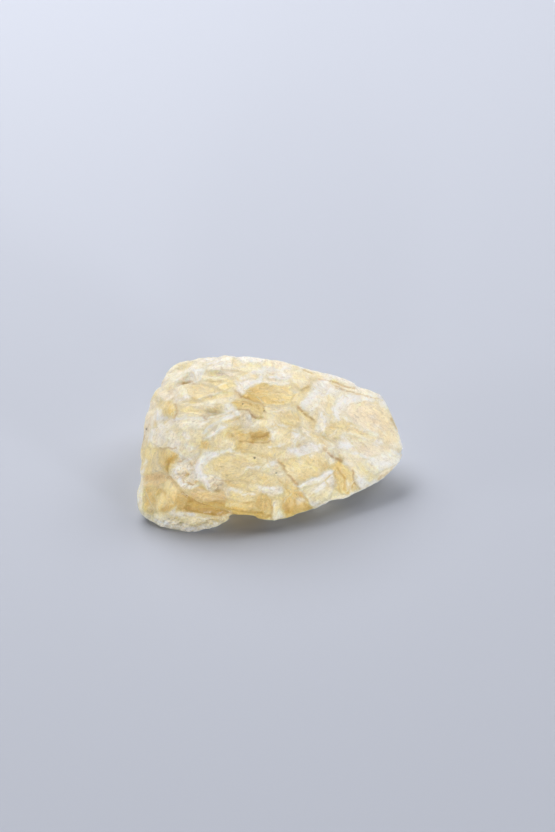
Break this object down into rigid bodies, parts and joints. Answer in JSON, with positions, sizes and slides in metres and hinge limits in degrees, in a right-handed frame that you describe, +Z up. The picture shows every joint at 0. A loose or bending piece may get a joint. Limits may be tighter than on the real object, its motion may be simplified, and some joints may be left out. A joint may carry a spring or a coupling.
{
  "type": "raw calcite piece",
  "caption": "Raw lump of honey-coloured calcite with flat cleavage faces, a sloping front and an undercut foot, lying on a flat base.",
  "frame": {"origin": "the middle of the lump's length and depth, on the plane it rests on", "axes": "+X along the lump towards its narrow end, +Y from the sloping front to the back, +Z up"},
  "size_m": [0.08, 0.052, 0.034],
  "materials": {
    "calcite": "rough, with glossy cleavage faces; translucent honey stone with milky white patches"
  },
  "bodies": {
    "root": {"calcite": "calcite"}
  },
  "joints": []
}
